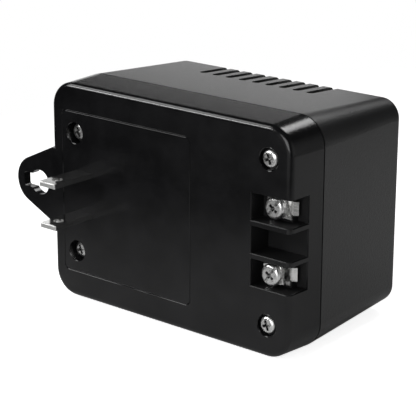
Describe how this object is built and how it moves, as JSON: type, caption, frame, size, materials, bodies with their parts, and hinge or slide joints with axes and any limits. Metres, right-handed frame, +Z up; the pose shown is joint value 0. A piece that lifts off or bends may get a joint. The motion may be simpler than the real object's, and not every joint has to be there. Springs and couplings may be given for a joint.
{
  "type": "plug-in transformer",
  "caption": "Moulded wall plug-in transformer: two-part drafted case with flat blades, a keyhole mounting ear, vent slots and barrier screw terminals round a laminated core.",
  "frame": {"origin": "on the wall face, in the upright plane through both blades, at the case's mid-height", "axes": "-Y is the way the blades point, +Y goes back into the case, +X runs from the mounting ear to the terminals, +Z is up"},
  "size_m": [0.1071, 0.0709, 0.068],
  "materials": {
    "base_plastic": "satin moulded black",
    "cover_plastic": "finely textured matte black",
    "blade_metal": "nickel-plated, smooth",
    "screw_metal": "bright zinc-plated",
    "terminal_metal": "bright nickel-plated",
    "lead_sleeve": "insulated wire, satin",
    "core_steel": "varnished laminations",
    "bobbin_plastic": "moulded nylon",
    "pin_metal": "tinned",
    "winding_wire": "enamelled copper wire",
    "winding_tape": "polyester tape",
    "fuse_body": "metal can with tinned leads"
  },
  "bodies": {
    "case": {"base_shell": "base_plastic", "rear_cover": "cover_plastic", "blade_upper": "blade_metal", "blade_lower": "blade_metal", "case_screws": "screw_metal", "terminal_plate_upper": "terminal_metal", "terminal_plate_lower": "terminal_metal", "primary_lead_upper": "lead_sleeve", "primary_lead_lower": "lead_sleeve", "secondary_lead_upper": "lead_sleeve", "secondary_lead_lower": "lead_sleeve", "core_e_stack": "core_steel", "core_i_stack": "core_steel", "bobbin": "bobbin_plastic", "bobbin_pins": "pin_metal", "primary_winding": "winding_wire", "secondary_winding": "winding_wire", "primary_tape": "winding_tape", "secondary_tape": "winding_tape", "thermal_fuse": "fuse_body"},
    "upper_clamp": {"terminal_washer_upper": "terminal_metal"},
    "upper_screw": {"terminal_screw_upper": "screw_metal"},
    "lower_clamp": {"terminal_washer_lower": "terminal_metal"},
    "lower_screw": {"terminal_screw_lower": "screw_metal"}
  },
  "joints": [
    {"name": "upper_clamp_lift", "type": "slide", "parent": "case", "child": "upper_clamp", "axis": [0, -1, 0], "range_m": [0, 0.00119]},
    {"name": "upper_screw_turn", "type": "hinge", "parent": "upper_clamp", "child": "upper_screw", "pos_m": [0.06948, 0.0041, 0.00953], "axis": [0, -1, 0], "range_deg": [0, 540]},
    {"name": "lower_clamp_lift", "type": "slide", "parent": "case", "child": "lower_clamp", "axis": [0, -1, 0], "range_m": [-0.00119, 0]},
    {"name": "lower_screw_turn", "type": "hinge", "parent": "lower_clamp", "child": "lower_screw", "pos_m": [0.06948, 0.0041, -0.00953], "axis": [0, -1, 0], "range_deg": [-540, 0]}
  ],
  "couplings": [
    {"joint": "upper_screw_turn", "follows": "upper_clamp_lift", "rad_per_m": 7915.8},
    {"joint": "lower_screw_turn", "follows": "lower_clamp_lift", "rad_per_m": 7915.8}
  ]
}
